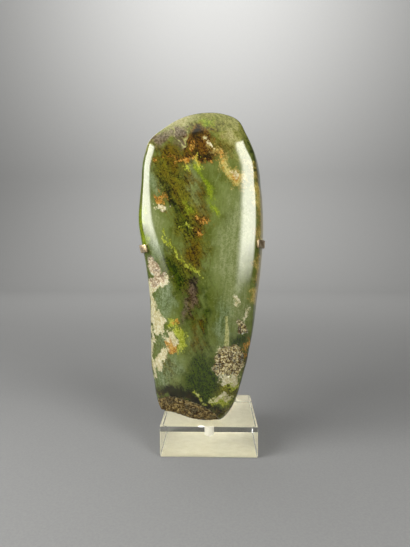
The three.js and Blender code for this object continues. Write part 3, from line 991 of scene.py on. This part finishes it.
# %% Toned brass
brass = Paintbox("toned brass")
tarnish = brass.noise(3, 4, 0.6)
spots = brass.noise(0.5, 3, 0.6)
brushed = brass.noise(0.12, 2, 0.5, lean=90, stretch=14)
worn = brass.between(brass.plus(tarnish[0], spots[0]), -0.1, 0.2)
toned = brass.mix(worn, paint(184, 158, 122), paint(232, 216, 182))
toned = brass.mix(brass.between(spots[1], 0.1, 0.24, 0.0, 0.7), toned, paint(112, 88, 60))
brass.tree.links.new(toned, brass.shader.inputs["Base Color"])
brass.shader.inputs["Metallic"].default_value = 1.0
brass.tree.links.new(brass.between(tarnish[1], -0.2, 0.2, 0.28, 0.5), brass.shader.inputs["Roughness"])
brass.tree.links.new(brass.bump(brass.times(brushed[0], 0.02)), brass.shader.inputs["Normal"])
print(f"the brass has {len(brass.tree.nodes)} nodes")

# %% Soften the strip and the rod
SAME_CORNER = 1e-6  # metres within which two corners of a CAD mesh are one
FLAT, SHARP = math.radians(1), math.radians(30)


def softened(node, bevel):
    """A merged copy of a CAD node with its sharp edges rounded."""
    bm = bmesh.new()
    bm.from_mesh(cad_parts[node].data)
    bmesh.ops.remove_doubles(bm, verts=bm.verts, dist=SAME_CORNER)
    bmesh.ops.dissolve_limit(bm, angle_limit=FLAT, verts=bm.verts, edges=bm.edges)
    corners = [e for e in bm.edges if len(e.link_faces) == 2 and e.calc_face_angle() > SHARP]
    rounding = {"offset": bevel, "segments": 2, "profile": 0.5, "affect": "EDGES"}
    bmesh.ops.bevel(bm, geom=corners, clamp_overlap=True, **rounding)
    piece = from_bmesh(node + "_finish", bm)
    piece.data.materials.append(brass.material)
    piece.data.polygons.foreach_set("use_smooth", [True] * len(piece.data.polygons))
    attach(piece, "root")
    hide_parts(node)
    print(f"{piece.name}: {len(piece.data.polygons)} faces")


softened("clip", 0.18 * MM)
softened("stem", 0.25 * MM)

# %% [markdown]
# ## Floor, light and camera
# A pale sweep of paper carries the stand and rises behind it without a corner. Two tall
# softboxes, one on each side of the camera, draw the two long highlights down the polished faces.
# A ceiling panel, a glow on the paper behind and a fill at the back lift the rest. A picture of a
# studio wrapped round the scene could light it too, but a polished stone mirrors its lights, and
# panels can be placed so that each highlight falls where it should.

# %% The paper sweep
SWEEP_REACH, SWEEP_RISE = 4.5, 3.5
BEND_START, BEND_RADIUS, BEND_STEPS = 1.2, 0.5, 12
SWEEP_SINK = 0.2 * MM
paper = Paintbox("pale paper")
paper.shader.inputs["Roughness"].default_value = 0.8
fibres = paper.noise(1.2, 4, 0.6)
sheet = paper.mix(paper.between(fibres[0], -0.2, 0.2), paint(98, 98, 97), paint(104, 104, 102))
paper.tree.links.new(sheet, paper.shader.inputs["Base Color"])
back_line = [(-SWEEP_REACH, 0.0)]
for i in range(BEND_STEPS + 1):
    a = math.pi / 2 * i / BEND_STEPS
    back_line.append((BEND_START + BEND_RADIUS * math.sin(a), BEND_RADIUS * (1 - math.cos(a))))
back_line.append((BEND_START + BEND_RADIUS, SWEEP_RISE))
sweep_points = [(x, y, z - SWEEP_SINK) for y, z in back_line for x in (-SWEEP_REACH, SWEEP_REACH)]
sweep_faces = [(2 * i, 2 * i + 1, 2 * i + 3, 2 * i + 2) for i in range(len(back_line) - 1)]
sweep = new_object("paper_sweep", sweep_points, sweep_faces)
sweep.data.materials.append(paper.material)
print(f"the paper is {2 * SWEEP_REACH:.0f} m wide and rises to {SWEEP_RISE} m")


# %% A glow that fades towards a panel's edges
def faded(data, bottom, side, top=0.06):
    """Lets a panel's glow die away over these shares of its height and width, as soft cloth does."""
    data.use_nodes = True
    tree = data.node_tree
    corner = tree.nodes.new("ShaderNodeSeparateXYZ")
    tree.links.new(tree.nodes.new("ShaderNodeNewGeometry").outputs["Parametric"], corner.inputs[0])
    strength = tree.nodes["Emission"].inputs["Strength"]
    glow = None
    for axis, start, end in ((1, 0, bottom), (1, 1, 1 - top), (0, 0, side), (0, 1, 1 - side)):
        ramp = tree.nodes.new("ShaderNodeMapRange")
        ramp.interpolation_type = "SMOOTHSTEP"
        tree.links.new(corner.outputs[axis], ramp.inputs["Value"])
        ramp.inputs["From Min"].default_value, ramp.inputs["From Max"].default_value = start, end
        if glow:
            both = tree.nodes.new("ShaderNodeMath")
            both.operation = "MULTIPLY"
            tree.links.new(glow, both.inputs[0])
            tree.links.new(ramp.outputs[0], both.inputs[1])
            glow = both.outputs[0]
        else:
            glow = ramp.outputs[0]
    tree.links.new(glow, strength)


# %% Two softboxes
def softbox(name, azimuth, distance, low, high, width, radiance, bottom, side):
    """An upright panel facing the stand. Azimuth is in degrees to the right of the camera's side."""
    data = bpy.data.lights.new(name, "AREA")
    data.shape = "RECTANGLE"
    data.size, data.size_y = width, high - low
    data.energy = radiance * math.pi * data.size * data.size_y
    faded(data, bottom, side)
    lamp = bpy.data.objects.new(name, data)
    bpy.context.scene.collection.objects.link(lamp)
    a = math.radians(azimuth)
    lamp.location = (distance * math.sin(a), -distance * math.cos(a), (low + high) / 2)
    lamp.rotation_euler = (math.pi / 2, 0, a)
    print(f"{name}: {width} m wide, {data.energy:.1f} W")


softbox("left_softbox", -56, 0.5, 0.035, 0.69, 0.46, 14, 0.24, 0.14)
softbox("right_softbox", 36.5, 0.5, 0.045, 0.69, 0.29, 14, 0.235, 0.22)

# %% Three soft fills
def soft_fill(name, place, aim, size, radiance):
    """A wide square panel at one place, aimed at another."""
    data = bpy.data.lights.new(name, "AREA")
    data.size = size
    data.energy = radiance * math.pi * size**2
    lamp = bpy.data.objects.new(name, data)
    bpy.context.scene.collection.objects.link(lamp)
    lamp.location = place
    lamp.rotation_euler = (Vector(aim) - Vector(place)).to_track_quat("-Z", "Y").to_euler()
    print(f"{name}: {size} m square, {data.energy:.1f} W")


soft_fill("ceiling_bounce", (0, -0.1, 1.3), (0, -0.1, 0), 1.0, 0.95)
soft_fill("backdrop_glow", (0, 0.5, 1.6), (0, 1.7, 1.3), 0.9, 36)
soft_fill("back_fill", (-0.8, 0.9, 1.15), (0, 0, 0.12), 0.9, 1.7)

# %% A dim room beyond the lights
ROOM_TINT, ROOM_STRENGTH = (1.0, 0.98, 0.95, 1), 0.12
world = bpy.data.worlds.new("studio")
bpy.context.scene.world = world
world.use_nodes = True
room = world.node_tree.nodes["Background"]
room.inputs["Color"].default_value = ROOM_TINT
room.inputs["Strength"].default_value = ROOM_STRENGTH
bpy.context.scene.view_settings.view_transform = "Standard"
print(f"the room glows at {ROOM_STRENGTH}")

# %% The camera
CAMERA_PLACE = (0.00357, -0.28778, 0.12296)
CAMERA_DOWN, CAMERA_TURN = math.radians(2.25), math.radians(1.309)
LENS_LENGTH, NEAREST_SEEN = 28.17, 0.01  # millimetres, as lenses are marked, and metres
lens = bpy.data.cameras.new("camera")
lens.lens = LENS_LENGTH
lens.clip_start = NEAREST_SEEN
camera = bpy.data.objects.new("camera", lens)
bpy.context.scene.collection.objects.link(camera)
camera.location = CAMERA_PLACE
camera.rotation_euler = (math.pi / 2 - CAMERA_DOWN, 0, CAMERA_TURN)
bpy.context.scene.camera = camera
print(f"the camera stands {-CAMERA_PLACE[1]:.2f} m off and sees {math.degrees(lens.angle):.0f} degrees")
